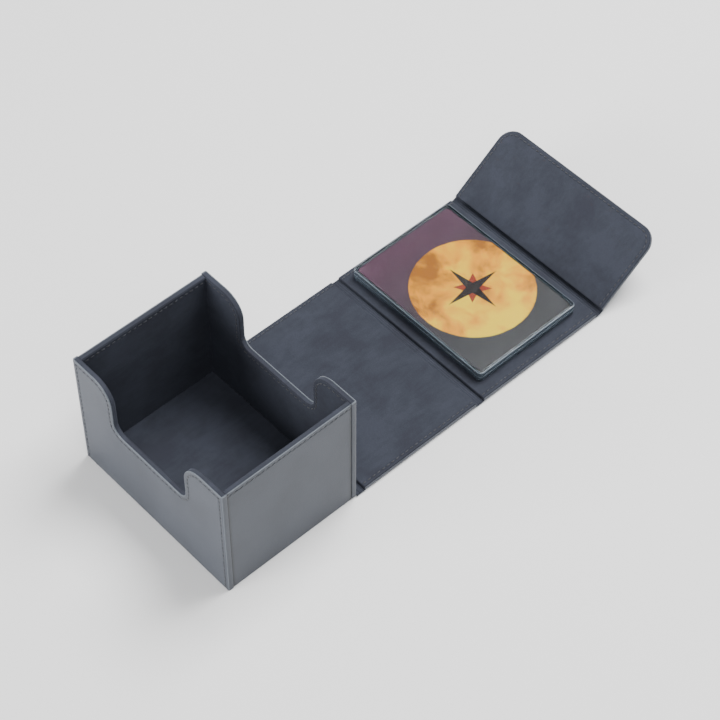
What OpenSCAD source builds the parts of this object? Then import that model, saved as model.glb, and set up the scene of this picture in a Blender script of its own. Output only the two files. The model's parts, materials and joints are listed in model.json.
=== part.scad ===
// Leather deck box with a wrap-around cover, a magnetic flap and a clear display case in the lid.
// The tray stands on the XY plane, centred on the origin. The cover is drawn open, lying flat
// behind the tray along +Y, with its flap part-raised. All sizes are in millimetres.

/* [Tray] */
// Outside width of the tray, along the long side of a card
tray_w = 106; // [105:1:140]
// Outside depth of the tray, along the row of cards
tray_d = 80; // [75:1:120]
// Height of the tray walls
tray_h = 74; // [69:1:100]
// Step between the edges of the front and back walls and the side walls between them
seam_step = 0.3; // [0:0.1:0.5]

/* [Thumb scoops in the front and back walls] */
// Depth of each scoop below the rim
scoop_depth = 29.5; // [19:0.5:31]
// Half the width of each scoop between its upright sides
scoop_half_w = 26; // [16:0.5:32]
// Radius where the rim turns down into the scoop
ear_r = 12; // [6:0.5:12]
// Radius where the scoop's sides meet its floor
scoop_r = 6; // [3:0.5:6]

/* [Sheet layers] */
// Outer leather
leather_t = 0.7; // [0.5:0.1:1]
// Board inside the tray walls and floor
wall_board_t = 1.8; // [1.6:0.1:2.4]
// Board inside the panels of the cover
cover_board_t = 1.6; // [1.5:0.1:2.2]
// Soft lining
lining_t = 0.5; // [0.3:0.1:0.6]

/* [Cover] */
// How much wider the cover is than the tray
cover_extra_w = 1; // [0:0.5:3]
// Gap between the closed cover and the tray walls
closing_gap = 0.4; // [0.3:0.1:1]
// Width of the soft groove at the spine
spine_groove = 5.6; // [5:0.2:7]
// Width of the soft groove at the flap
flap_groove = 5.6; // [5.4:0.2:7]
// Length of the flap from its hinge axis to its free edge
flap_reach = 49.5; // [48:0.5:56]
// Radius of the flap's free corners
flap_r = 9.5; // [4:0.5:14]
// Angle at which the open flap rests above the table
flap_rest = 36; // [15:1:60]

/* [Magnets] */
// Diameter of each closing magnet
magnet_d = 8; // [5:0.5:8]
// Thickness of each closing magnet
magnet_t = 1.2; // [0.8:0.1:1.3]
// Distance of each magnet from the middle of the wall or flap
magnet_x = 25; // [15:1:35]
// Distance of the flap's magnets from its hinge axis
magnet_reach = 43; // [42:0.5:44]

/* [Display case] */
// Long side of the sleeved card in the case
card_w = 90.5; // [86:0.5:92]
// Short side of the sleeved card
card_d = 64.5; // [61:0.5:66]
// Thickness of the sleeved card
card_t = 0.5; // [0.3:0.1:0.8]
// Radius of the card's corners
card_r = 2; // [1:0.5:4]
// Thickness of the case's side walls
case_wall = 1.25; // [1:0.05:1.5]
// Overall thickness of the case
case_t = 6; // [5:0.1:6]
// Height of the parting line between the case's base and its cover
case_base_t = 3; // [2:0.1:3]
// Thickness of the cover's window
window_t = 1; // [0.8:0.1:1.2]
// Radius of the case's corners
case_r = 2.5; // [2:0.5:3]
// Distance from the spine groove to the case
case_offset = 4.9; // [4:0.1:6]
// How far the case sits to the left of the middle
case_shift = 1.8; // [0:0.1:2]
// Thickness of the adhesive pad under the case
pad_t = 0.4; // [0.2:0.1:0.6]

/* [Hidden] */
$fn = 96;
eps = 1;                        // overshoot of the cutting shapes

// Fits
magnet_fit = 0.05;              // radial gap around a magnet in its pocket
card_fit = 0.5;                 // gap between the card and the case's walls
card_gap = 0.15;                // gap between the card and the window
cover_fit = 0.1;                // gap between the case's cover and the platform it slides over
pad_margin = 3;                 // how far the adhesive pad stays inside the card's outline

// Thicknesses and levels
wall_t = leather_t + wall_board_t + lining_t;
board_top = leather_t + cover_board_t;
panel_t = board_top + lining_t;
pivot_z = 0.6;                  // the leather bends about a line just inside its top face
pivot_to_lining = panel_t - pivot_z;

// Tray
front_y = -tray_d / 2;
back_y = tray_d / 2;
side_x = tray_w / 2 - seam_step;
side_h = tray_h - seam_step;
inner_w = 2 * (side_x - wall_t);
inner_d = tray_d - 2 * wall_t;

// Cover, from the back of the tray to the flap
cover_w = tray_w + cover_extra_w;
base_groove = 2 * (pivot_to_lining + closing_gap);
base_pivot_y = back_y + base_groove / 2;
back_panel_y = back_y + base_groove;
back_panel_l = tray_h;
spine_y = back_panel_y + back_panel_l;
spine_pivot_y = spine_y + spine_groove / 2;
top_panel_y = spine_y + spine_groove;
closed_depth = tray_d + base_groove / 2 + closing_gap + pivot_to_lining;
top_panel_l = closed_depth - (spine_groove + flap_groove) / 2;
flap_groove_y = top_panel_y + top_panel_l;
flap_pivot_y = flap_groove_y + flap_groove / 2;
flap_y = flap_groove / 2;       // start of the flap, measured from its hinge axis
closed_flap_z = pivot_z + spine_pivot_y - base_pivot_y;
wall_magnet_z = closed_flap_z - magnet_reach;

// Bend of the flap's groove: an arc that runs straight into the panels on both sides
bend_r = flap_groove / 2 / tan(flap_rest / 2);
bend_bottom_r = bend_r + pivot_z;
bend_middle_r = bend_bottom_r - leather_t;
bend_top_r = bend_middle_r - lining_t;

// Display case
case_w = card_w + 2 * (card_fit + case_wall);
case_d = card_d + 2 * (card_fit + case_wall);
case_y = top_panel_y + case_offset;
case_z = panel_t + pad_t;
parting_z = case_z + case_base_t;
case_top_z = case_z + case_t;
card_z = case_top_z - window_t - card_gap - card_t;

leather_colour = "#74787e";
lining_colour = "#4a505c";
board_colour = "#9a8f7c";
clear_colour = [0.82, 0.9, 0.94, 0.35];
metal_colour = "#c4c6c8";
pad_colour = "#2c2d30";
card_colour = "#5a4a58";

// ---- Outlines ----

// A rectangle centred on the origin with round corners
module rounded_plate_2d(w, l, r) {
    square([w - 2 * r, l], center = true);
    square([w, l - 2 * r], center = true);
    for (x = [-w / 2 + r, w / 2 - r], y = [-l / 2 + r, l / 2 - r])
        translate([x, y]) circle(r);
}

// The scoop in the rim of a wall, with Y as height; grow moves its edge into the wall
module scoop_2d(grow) {
    half_w = scoop_half_w + grow;
    bottom_r = scoop_r + grow;
    bottom_z = tray_h - scoop_depth - grow;
    flare_r = ear_r - grow;
    flare_z = tray_h - ear_r;
    top_z = tray_h + eps;
    translate([-half_w, bottom_z + bottom_r])
        square([2 * half_w, top_z - bottom_z - bottom_r]);
    translate([-half_w + bottom_r, bottom_z])
        square([2 * (half_w - bottom_r), bottom_r + eps]);
    for (side = [-1, 1]) {
        translate([side * (half_w - bottom_r), bottom_z + bottom_r]) circle(bottom_r);
        difference() {
            translate([side < 0 ? -half_w - flare_r : half_w, flare_z])
                square([flare_r, top_z - flare_z]);
            translate([side * (half_w + flare_r), flare_z]) circle(flare_r);
        }
    }
}

// The face of a scooped wall, with its two ends and its rim pulled in
module scooped_wall_2d(end_inset, rim_inset) {
    difference() {
        translate([-tray_w / 2 + end_inset, leather_t])
            square([tray_w - 2 * end_inset, tray_h - rim_inset - leather_t]);
        scoop_2d(rim_inset);
    }
}

// The flap, from its groove at Y = flap_y to its free edge; inset pulls in all but the groove end
module flap_2d(inset) {
    w = cover_w - 2 * inset;
    end = flap_reach - inset;
    r = flap_r - inset;
    translate([-w / 2, flap_y]) square([w, end - r - flap_y]);
    translate([-w / 2 + r, flap_y]) square([w - 2 * r, end - flap_y]);
    for (side = [-1, 1])
        translate([side * (w / 2 - r), end - r]) circle(r);
}

// A slice of a ring in the YZ plane, from straight down to flap_rest further round
module bend_2d(outer_r, inner_r) {
    reach = 2 * outer_r;
    intersection() {
        difference() {
            circle(outer_r);
            circle(inner_r);
        }
        polygon([[0, 0], [0, -reach], [reach * sin(flap_rest), -reach * cos(flap_rest)]]);
    }
}

// ---- Placing ----

// Stands an outline drawn as X and height on its foot, as a layer from y0 to y1
module upright_layer(y0, y1) {
    translate([0, y1, 0]) rotate([90, 0, 0]) linear_extrude(y1 - y0) children();
}

// Turns what is drawn for the front wall round to the back wall
module at_back() {
    rotate([0, 0, 180]) children();
}

// Places what is drawn flat, measured from the flap's hinge axis, at the flap's resting angle
module on_flap() {
    translate([0, flap_pivot_y, pivot_z]) rotate([flap_rest, 0, 0]) children();
}

// A flat sheet across the cover between two heights, starting at y0
module cover_sheet(w, y0, l, z0, z1) {
    translate([-w / 2, y0, z0]) cube([w, l, z1 - z0]);
}

// ---- Tray walls, drawn at the front and at the right ----
// The leather covers a wall's outside and its ends; the lining covers its inside and its rim.

module scooped_leather() {
    color(leather_colour) difference() {
        upright_layer(front_y, front_y + wall_t) scooped_wall_2d(0, 0);
        upright_layer(front_y + leather_t, front_y + wall_t + eps)
            translate([-tray_w / 2 + leather_t, 0])
                square([tray_w - 2 * leather_t, tray_h + eps]);
    }
}

module scooped_board() {
    color(board_colour)
        upright_layer(front_y + leather_t, front_y + wall_t - lining_t)
            scooped_wall_2d(leather_t, lining_t);
}

module scooped_lining() {
    color(lining_colour) difference() {
        upright_layer(front_y + leather_t, front_y + wall_t) scooped_wall_2d(leather_t, 0);
        upright_layer(front_y, front_y + wall_t - lining_t) difference() {
            translate([-tray_w / 2, 0]) square([tray_w, tray_h - lining_t]);
            scoop_2d(lining_t);
        }
    }
}

// One layer of a side wall, between two distances inwards from its outer face
module side_layer(from_outside, to_outside, top) {
    translate([side_x - to_outside, -inner_d / 2, leather_t])
        cube([to_outside - from_outside, inner_d, top - leather_t]);
}

module side_leather() {
    color(leather_colour) side_layer(0, leather_t, side_h);
}

module side_board() {
    color(board_colour) side_layer(leather_t, leather_t + wall_board_t, side_h - lining_t);
}

module side_lining() {
    color(lining_colour) difference() {
        side_layer(leather_t, wall_t, side_h);
        translate([side_x - wall_t + lining_t, -inner_d / 2 - eps, 0])
            cube([wall_t, inner_d + 2 * eps, side_h - lining_t]);
    }
}

// ---- Tray ----

module base_leather() {
    color(leather_colour)
        translate([-tray_w / 2, front_y, 0]) cube([tray_w, tray_d, leather_t]);
}

module floor_board() {
    color(board_colour)
        translate([-inner_w / 2, -inner_d / 2, leather_t]) cube([inner_w, inner_d, wall_board_t]);
}

module floor_lining() {
    color(lining_colour)
        translate([-inner_w / 2, -inner_d / 2, wall_t - lining_t])
            cube([inner_w, inner_d, lining_t]);
}

module front_wall_leather() {
    scooped_leather();
}

module front_wall_board() {
    color(board_colour) difference() {
        scooped_board();
        for (x = [-magnet_x, magnet_x])
            translate([x, front_y + leather_t + magnet_t, wall_magnet_z])
                rotate([90, 0, 0]) cylinder(h = magnet_t + eps, r = magnet_d / 2 + magnet_fit);
    }
}

module front_wall_lining() {
    scooped_lining();
}

module front_wall_magnets() {
    color(metal_colour)
        for (x = [-magnet_x, magnet_x])
            translate([x, front_y + leather_t + magnet_t, wall_magnet_z])
                rotate([90, 0, 0]) cylinder(h = magnet_t, r = magnet_d / 2);
}

module back_wall_leather() {
    at_back() scooped_leather();
}

module back_wall_board() {
    at_back() scooped_board();
}

module back_wall_lining() {
    at_back() scooped_lining();
}

module left_wall_leather() {
    mirror([1, 0, 0]) side_leather();
}

module left_wall_board() {
    mirror([1, 0, 0]) side_board();
}

module left_wall_lining() {
    mirror([1, 0, 0]) side_lining();
}

module right_wall_leather() {
    side_leather();
}

module right_wall_board() {
    side_board();
}

module right_wall_lining() {
    side_lining();
}

// ---- Flat panels of the cover ----
// The leather covers a panel's outside and turns up its edges; the lining covers its inside.

module panel_leather(y0, l) {
    color(leather_colour) difference() {
        cover_sheet(cover_w, y0, l, 0, board_top);
        cover_sheet(cover_w - 2 * leather_t, y0 - eps, l + 2 * eps, leather_t, panel_t);
    }
}

module panel_board(y0, l) {
    color(board_colour) cover_sheet(cover_w - 2 * leather_t, y0, l, leather_t, board_top);
}

module panel_lining(y0, l) {
    color(lining_colour) cover_sheet(cover_w, y0, l, board_top, panel_t);
}

// Soft strips between two panels: leather below, lining pressed down onto it
module groove_leather(y0, l) {
    color(leather_colour) cover_sheet(cover_w, y0, l, 0, leather_t);
}

module groove_lining(y0, l) {
    color(lining_colour) cover_sheet(cover_w, y0, l, leather_t, leather_t + lining_t);
}

module base_hinge_leather() {
    groove_leather(back_y, base_groove);
}

module base_hinge_lining() {
    groove_lining(back_y, base_groove);
}

module back_panel_leather() {
    panel_leather(back_panel_y, back_panel_l);
}

module back_panel_board() {
    panel_board(back_panel_y, back_panel_l);
}

module back_panel_lining() {
    panel_lining(back_panel_y, back_panel_l);
}

module spine_hinge_leather() {
    groove_leather(spine_y, spine_groove);
}

module spine_hinge_lining() {
    groove_lining(spine_y, spine_groove);
}

module top_panel_leather() {
    panel_leather(top_panel_y, top_panel_l);
}

module top_panel_board() {
    panel_board(top_panel_y, top_panel_l);
}

module top_panel_lining() {
    panel_lining(top_panel_y, top_panel_l);
}

// ---- Flap ----

// A strip across the cover that follows the bend of the flap's groove
module bent_strip(outer_r, inner_r) {
    translate([-cover_w / 2, flap_groove_y, pivot_z + bend_r])
        rotate([90, 0, 90]) linear_extrude(cover_w) bend_2d(outer_r, inner_r);
}

// A layer of the flap between two heights, where 0 is the underside of the leather
module flap_layer(z0, z1, inset) {
    translate([0, 0, z0 - pivot_z]) linear_extrude(z1 - z0) flap_2d(inset);
}

module flap_hinge_leather() {
    color(leather_colour) bent_strip(bend_bottom_r, bend_middle_r);
}

module flap_hinge_lining() {
    color(lining_colour) bent_strip(bend_middle_r, bend_top_r);
}

module flap_leather() {
    color(leather_colour) on_flap() difference() {
        flap_layer(0, board_top, 0);
        flap_layer(leather_t, panel_t, leather_t);
        translate([-cover_w / 2 + leather_t, flap_y - eps, leather_t - pivot_z])
            cube([cover_w - 2 * leather_t, 2 * eps, panel_t]);
    }
}

module flap_board() {
    color(board_colour) on_flap() difference() {
        flap_layer(leather_t, board_top, leather_t);
        for (x = [-magnet_x, magnet_x])
            translate([x, magnet_reach, board_top - magnet_t - pivot_z])
                cylinder(h = magnet_t + eps, r = magnet_d / 2 + magnet_fit);
    }
}

module flap_lining() {
    color(lining_colour) on_flap() flap_layer(board_top, panel_t, 0);
}

module flap_magnets() {
    color(metal_colour) on_flap()
        for (x = [-magnet_x, magnet_x])
            translate([x, magnet_reach, board_top - magnet_t - pivot_z])
                cylinder(h = magnet_t, r = magnet_d / 2);
}

// ---- Display case ----

// A layer of the case between two heights, its outline pulled in all round by inset
module case_layer(z0, z1, inset) {
    translate([-case_shift, case_y + case_d / 2, z0])
        linear_extrude(z1 - z0)
            rounded_plate_2d(case_w - 2 * inset, case_d - 2 * inset, case_r - inset);
}

module display_pad() {
    inset = case_wall + card_fit + pad_margin;
    color(pad_colour)
        translate([-case_shift - case_w / 2 + inset, case_y + inset, panel_t])
            cube([case_w - 2 * inset, case_d - 2 * inset, pad_t]);
}

// The base has a raised platform that lifts the card up to the window
module display_base() {
    color(clear_colour) {
        case_layer(case_z, parting_z, 0);
        case_layer(parting_z, card_z, case_wall + cover_fit);
    }
}

module display_card() {
    color(card_colour)
        translate([-case_shift, case_y + case_d / 2, card_z])
            linear_extrude(card_t) rounded_plate_2d(card_w, card_d, card_r);
}

// The cover lifts straight off the base
module display_cover() {
    color(clear_colour) difference() {
        case_layer(parting_z, case_top_z, 0);
        case_layer(parting_z - eps, case_top_z - window_t, case_wall);
    }
}

base_leather();
floor_board();
floor_lining();
front_wall_leather();
front_wall_board();
front_wall_lining();
front_wall_magnets();
back_wall_leather();
back_wall_board();
back_wall_lining();
left_wall_leather();
left_wall_board();
left_wall_lining();
right_wall_leather();
right_wall_board();
right_wall_lining();
base_hinge_leather();
base_hinge_lining();
back_panel_leather();
back_panel_board();
back_panel_lining();
spine_hinge_leather();
spine_hinge_lining();
top_panel_leather();
top_panel_board();
top_panel_lining();
flap_hinge_leather();
flap_hinge_lining();
flap_leather();
flap_board();
flap_lining();
flap_magnets();
display_pad();
display_base();
display_card();
display_cover();
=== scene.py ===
"""Looks of the card deck box: leather skins, linings, stitching, the clear case and its card.

Lengths are in millimetres in the part's own frame until a mesh is made, which is in metres.
The boards, magnets and foam tape keep their solids. The sheets, their stitches, the case and its card
are made here on the sizes of theirs.
"""

import json
import logging
import math
from dataclasses import dataclass, field
from enum import Enum
from typing import Callable, Sequence

import bmesh
import bpy
import numpy as np
from mathutils import Matrix, Vector
from mathutils.geometry import delaunay_2d_cdt


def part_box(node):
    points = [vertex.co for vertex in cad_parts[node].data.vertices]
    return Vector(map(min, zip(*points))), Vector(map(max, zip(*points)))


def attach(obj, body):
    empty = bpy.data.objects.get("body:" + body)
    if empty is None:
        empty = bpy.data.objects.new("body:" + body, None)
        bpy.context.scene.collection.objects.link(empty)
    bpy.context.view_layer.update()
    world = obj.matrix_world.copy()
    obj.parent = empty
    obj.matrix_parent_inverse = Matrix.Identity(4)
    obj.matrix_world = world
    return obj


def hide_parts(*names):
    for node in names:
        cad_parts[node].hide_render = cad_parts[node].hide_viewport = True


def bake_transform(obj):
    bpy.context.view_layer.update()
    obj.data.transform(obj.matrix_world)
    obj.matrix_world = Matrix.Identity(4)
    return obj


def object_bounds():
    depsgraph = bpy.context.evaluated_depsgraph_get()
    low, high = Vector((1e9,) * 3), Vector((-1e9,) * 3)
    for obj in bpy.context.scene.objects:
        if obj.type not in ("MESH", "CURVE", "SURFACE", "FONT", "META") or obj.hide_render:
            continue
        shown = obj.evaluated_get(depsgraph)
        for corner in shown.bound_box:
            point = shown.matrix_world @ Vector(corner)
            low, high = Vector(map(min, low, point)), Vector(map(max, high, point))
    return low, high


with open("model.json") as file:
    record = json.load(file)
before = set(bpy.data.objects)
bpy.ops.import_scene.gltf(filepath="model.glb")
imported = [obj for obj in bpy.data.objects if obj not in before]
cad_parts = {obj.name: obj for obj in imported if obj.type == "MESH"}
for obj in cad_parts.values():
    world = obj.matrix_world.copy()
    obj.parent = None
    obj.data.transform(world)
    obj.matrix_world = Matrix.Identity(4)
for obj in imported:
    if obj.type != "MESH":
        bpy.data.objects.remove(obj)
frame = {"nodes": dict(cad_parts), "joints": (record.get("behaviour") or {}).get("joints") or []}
cad_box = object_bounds()

MM = 0.001
ARC_STEPS = 10                # straight pieces in a quarter turn of an outline
ROUND_STEPS = 4               # rings across a rounded edge of a sheet
CASE_STEPS = 3                # and across a rounded edge of the case
SAME_SPOT = 1e-6              # points nearer than this are one point
ACROSS, ALONG, UP, DOWN = (1, 0, 0), (0, 1, 0), (0, 0, 1), (0, 0, -1)
log = logging.getLogger("card_deck_box")

Point = tuple[float, float]
Place = Callable[[np.ndarray], np.ndarray]


# ---------------------------------------------------------------- measuring and outlines


@dataclass(frozen=True)
class Extent:
    """The box of one solid of the part, in millimetres."""

    low: np.ndarray
    high: np.ndarray

    @classmethod
    def of(cls, node: str) -> "Extent":
        """Measures a solid by its name."""
        low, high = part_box(node)
        return cls(np.array(low) / MM, np.array(high) / MM)

    @property
    def size(self) -> np.ndarray:
        """Width, length and height."""
        return self.high - self.low


def arc(centre: Point, radius: float, start: float, end: float) -> list[Point]:
    """Points of a round stretch of an outline.

    Args:
        centre: The arc's centre.
        radius: Its radius.
        start: Angle of the first point in degrees, anticlockwise from the first axis.
        end: Angle of the last point.

    Returns:
        The points, both ends included.
    """
    steps = max(2, round(ARC_STEPS * abs(end - start) / 90))
    angles = np.radians(np.linspace(start, end, steps + 1))
    return [(centre[0] + radius * math.cos(a), centre[1] + radius * math.sin(a)) for a in angles]


def path_of(*points: Point) -> np.ndarray:
    """An open line through some points.

    Args:
        points: The points in order. A repeat of the last one is passed over.

    Returns:
        The line.
    """
    kept = [points[0]]
    for p in points[1:]:
        if math.dist(p, kept[-1]) > SAME_SPOT:
            kept.append(p)
    return np.array(kept, float)


def rectangle(left: float, right: float, low: float, high: float) -> np.ndarray:
    """A clockwise rectangle, from its lower left corner."""
    return path_of((left, low), (left, high), (right, high), (right, low))


def round_rectangle(centre: Point, width: float, length: float, radius: float) -> np.ndarray:
    """A clockwise rectangle with round corners.

    Args:
        centre: Its centre.
        width: Its size along the first axis.
        length: Its size along the second axis.
        radius: Radius of its corners.

    Returns:
        The outline, without a repeat of its first point.
    """
    x, y = width / 2 - radius, length / 2 - radius
    corners = [((x, y), 90), ((x, -y), 0), ((-x, -y), -90), ((-x, y), -180)]
    points = [p for c, a in corners for p in arc(c, radius, a, a - 90)]
    return path_of(*points) + np.array(centre)


def offset(path: np.ndarray, inset: float) -> np.ndarray:
    """Moves a line sideways, to the right of the way it runs, with mitred corners.

    Args:
        path: The line.
        inset: How far it moves.

    Returns:
        The moved line, with as many points.
    """
    run = np.diff(path, axis=0)
    run /= np.linalg.norm(run, axis=1)[:, None]
    right = np.stack([run[:, 1], -run[:, 0]], axis=1)
    joined = right[:-1] + right[1:]
    joined *= 2 / (joined**2).sum(axis=1)[:, None]
    return path + inset * np.vstack([right[:1], joined, right[-1:]])


def lengthened(path: np.ndarray, extra: float) -> np.ndarray:
    """Runs both ends of a line on straight.

    Args:
        path: The line.
        extra: How far each end runs on.

    Returns:
        The longer line.
    """
    start = path[0] - path[1]
    end = path[-1] - path[-2]
    return np.vstack([
        path[:1] + start / np.linalg.norm(start) * extra,
        path,
        path[-1:] + end / np.linalg.norm(end) * extra,
    ])


def distance(points: np.ndarray, path: np.ndarray) -> np.ndarray:
    """Distance of points from a line of straight stretches.

    Args:
        points: The points.
        path: The line.

    Returns:
        The distance of each point.
    """
    a, ab = path[:-1], np.diff(path, axis=0)
    along = ((points[:, None] - a) * ab).sum(-1) / (ab**2).sum(-1)
    nearest = a + np.clip(along, 0, 1)[..., None] * ab
    return np.linalg.norm(points[:, None] - nearest, axis=-1).min(axis=1)


def rounding(radius: float, gap: np.ndarray) -> np.ndarray:
    """How far a quarter-round edge has dropped at a distance from its rim."""
    g = np.clip(gap, 0, radius)
    return radius - np.sqrt(np.maximum(radius**2 - (radius - g) ** 2, 0))


def plane(origin: Sequence[float], u: Sequence[float], v: Sequence[float], w: Sequence[float]) -> Place:
    """Places flat work in space: u and v run in the sheet and w goes down through it."""
    base, axes = np.array(origin, float), np.array([u, v, w], float)
    return lambda points: base + points @ axes


# ---------------------------------------------------------------- meshes


@dataclass
class Work:
    """A mesh in the making: points in millimetres, faces, and a value per point for each mask."""

    points: np.ndarray
    faces: list[list[int]]
    masks: dict[str, np.ndarray] = field(default_factory=dict)
    zones: list[int] = field(default_factory=list)    # which of its materials each face takes


class Piece:
    """Turns finished work into named pieces."""

    SHARP = math.radians(50)      # edges that turn further than this stay crisp

    @classmethod
    def make(cls, name: str, work: Work, materials: Sequence[bpy.types.Material],
             slot: str) -> bpy.types.Object:
        """Makes the piece's object.

        Args:
            name: The piece's name.
            work: Its mesh, in millimetres.
            materials: What it is made of, with one material per zone where there are several.
            slot: The record's material slot; not used.

        Returns:
            The object, standing where it belongs.
        """
        mesh = bpy.data.meshes.new(name)
        mesh.from_pydata((work.points * MM).tolist(), [], work.faces)
        for mask, values in work.masks.items():
            layer = mesh.attributes.new(mask, "FLOAT", "POINT")
            layer.data.foreach_set("value", values.astype(np.float32))
        bm = bmesh.new()
        bm.from_mesh(mesh)
        bmesh.ops.recalc_face_normals(bm, faces=bm.faces)
        bm.to_mesh(mesh)
        bm.free()
        mesh.polygons.foreach_set("use_smooth", [True] * len(mesh.polygons))
        mesh.set_sharp_from_angle(angle=cls.SHARP)
        for material in materials:
            mesh.materials.append(material)
        if len(materials) > 1:
            mesh.polygons.foreach_set("material_index", work.zones)
        piece = bpy.data.objects.new(name, mesh)
        bpy.context.scene.collection.objects.link(piece)
        log.info("%s: %d faces", name, len(mesh.polygons))
        return piece


class EdgeKind(Enum):
    """How a sheet ends."""

    CUT = "cut"               # the sheet just ends, with its raw edge pressed round
    TURNED = "turned"         # the sheet turns over the edge of the board under it
    BUTTED = "butted"         # the sheet runs up against its neighbour, and painted shade sits in the joint


@dataclass(frozen=True)
class Edge:
    """One stretch of a sheet's rim. The sheet lies to the right of the path."""

    path: np.ndarray
    kind: EdgeKind
    radius: float             # rounding that shows
    reach: float              # how deep the edge goes
    heel: float = 0.2         # rounding at the deep end

    PAST_ROUND = 0.15         # plain sheet kept beside the rounding, so that its shading stays put
    HEEL_RING = 0.3           # where a line crosses the rounding at the deep end, as a share of it
    STEP = 0.01               # half the width of the step down from the sheet to a turned edge
    JOINT_RINGS = (0.9, 1.3, 1.8, 2.5)    # lines that carry the fading shade of a butted joint

    def rings(self, thickness: float) -> list[float]:
        """Finds the insets at which the mesh needs a line to follow this edge's shape.

        Args:
            thickness: The sheet's thickness.

        Returns:
            The insets.
        """
        quarter = [self.radius * (1 - math.cos(math.pi / 2 * k / ROUND_STEPS))
                   for k in range(1, ROUND_STEPS + 1)]
        rings = quarter + [self.radius + self.PAST_ROUND, self.heel * self.HEEL_RING, self.heel]
        if self.kind is EdgeKind.TURNED:
            rings += [thickness - self.STEP, thickness + self.STEP]
        if self.kind is EdgeKind.BUTTED:
            rings += self.JOINT_RINGS
        return rings


@dataclass(frozen=True)
class Hem:
    """A sewn hem: a line of stitches in a shallow valley, and a slight swell between it and the rim."""

    path: np.ndarray
    inset: float = 2.3
    valley: float = 0.17
    half_width: float = 0.7
    swell: float = 0.07

    GUARDS = (0.15, 0.2)      # plain sheet kept outside and inside the valley, so that its shading stays put

    @classmethod
    def in_lining(cls, path: np.ndarray, inset: float = 2.3) -> "Hem":
        """A hem of the thinner lining, which sinks less under its thread."""
        return cls(path, inset, valley=0.12, swell=0.03)

    def rings(self) -> list[float]:
        """Finds the insets at which the mesh needs a line to follow the hem.

        Returns:
            The insets: one in the swell, one beside the valley on each side, and five across it.
        """
        h = self.half_width
        outer, inner = self.GUARDS
        beside = [self.inset / 2, self.inset - h - outer, self.inset + h + inner]
        return beside + [self.inset + h * share for share in (-1, -0.5, 0, 0.5, 1)]

    def groove(self, points: np.ndarray) -> np.ndarray:
        """1 on the stitch line, falling to 0 at the valley's sides."""
        off = np.abs(distance(points, self.path) - self.inset) / self.half_width
        return np.clip(1 - off**2, 0, 1) ** 2

    def depth(self, points: np.ndarray) -> np.ndarray:
        """How far the hem lies under the plain sheet."""
        share = np.clip(distance(points, self.path) / (self.inset - self.half_width), 0, 1)
        return self.valley * self.groove(points) - self.swell * np.sin(math.pi * share) ** 2


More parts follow.
